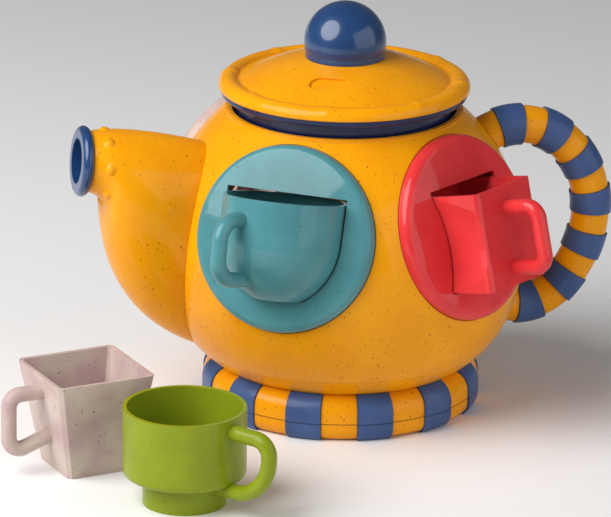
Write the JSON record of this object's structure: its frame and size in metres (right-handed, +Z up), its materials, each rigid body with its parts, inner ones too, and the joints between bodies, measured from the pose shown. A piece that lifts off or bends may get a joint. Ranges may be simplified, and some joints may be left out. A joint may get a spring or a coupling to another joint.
{
  "type": "toy teapot shape sorter",
  "caption": "Round toy teapot shape sorter with lift-off lid, striped handle and base ring, spout, and cups that post through matching slots in coloured discs.",
  "frame": {"origin": "on the floor at the middle of the base, on the pot's upright axis", "axes": "+Z up; +X towards the handle, -X towards the spout; -Y towards the teal and red discs"},
  "size_m": [0.3013, 0.2447, 0.1889],
  "materials": {
    "orange_bioplastic": "glossy with small dark specks",
    "denim_bioplastic": "satin",
    "navy_bioplastic": "glossy",
    "teal_bioplastic": "glossy with small dark specks",
    "red_bioplastic": "glossy with small dark specks",
    "cream_bioplastic": "satin with brown specks",
    "green_bioplastic": "glossy with small dark specks",
    "screw_steel": "zinc plated"
  },
  "bodies": {
    "pot": {"body_front": "orange_bioplastic", "body_rear": "orange_bioplastic", "shell_screws": "screw_steel", "base_ring_upper": "orange_bioplastic", "base_ring_lower": "orange_bioplastic", "base_bands_upper": "denim_bioplastic", "base_bands_lower": "denim_bioplastic", "base_plate": "orange_bioplastic", "base_screws": "screw_steel", "disc_teal": "teal_bioplastic", "disc_red": "red_bioplastic", "disc_cream": "cream_bioplastic", "disc_green": "green_bioplastic", "spout_front": "orange_bioplastic", "spout_rear": "orange_bioplastic", "spout_ring": "denim_bioplastic", "handle_front": "orange_bioplastic", "handle_rear": "orange_bioplastic", "handle_band_1": "denim_bioplastic", "handle_band_2": "denim_bioplastic", "handle_band_3": "denim_bioplastic", "handle_band_4": "denim_bioplastic", "handle_band_5": "denim_bioplastic", "handle_band_6": "denim_bioplastic", "handle_band_7": "denim_bioplastic"},
    "lid": {"lid_cover": "orange_bioplastic", "lid_collar": "denim_bioplastic", "lid_knob": "navy_bioplastic", "lid_screws": "screw_steel", "knob_screw": "screw_steel"},
    "teal_cup": {"cup_teal": "teal_bioplastic"},
    "red_cup": {"cup_red": "red_bioplastic"},
    "cream_cup": {"cup_cream": "cream_bioplastic"},
    "green_cup": {"cup_green": "green_bioplastic"}
  },
  "joints": [
    {"name": "lid_lift", "type": "slide", "parent": "pot", "child": "lid", "axis": [0, 0, 1], "range_m": [0, 0.08]},
    {"name": "teal_cup_slide", "type": "slide", "parent": "pot", "child": "teal_cup", "axis": [0.5715, 0.7867, -0.2334], "range_m": [-0.06, 0.046]},
    {"name": "red_cup_slide", "type": "slide", "parent": "pot", "child": "red_cup", "axis": [0.5715, -0.7867, 0.2334], "range_m": [-0.046, 0.06]},
    {"name": "cream_cup_lift", "type": "slide", "parent": "pot", "child": "cream_cup", "axis": [0, 0, 1], "range_m": [0, 0.06]},
    {"name": "green_cup_lift", "type": "slide", "parent": "pot", "child": "green_cup", "axis": [0, 0, 1], "range_m": [0, 0.06]}
  ]
}
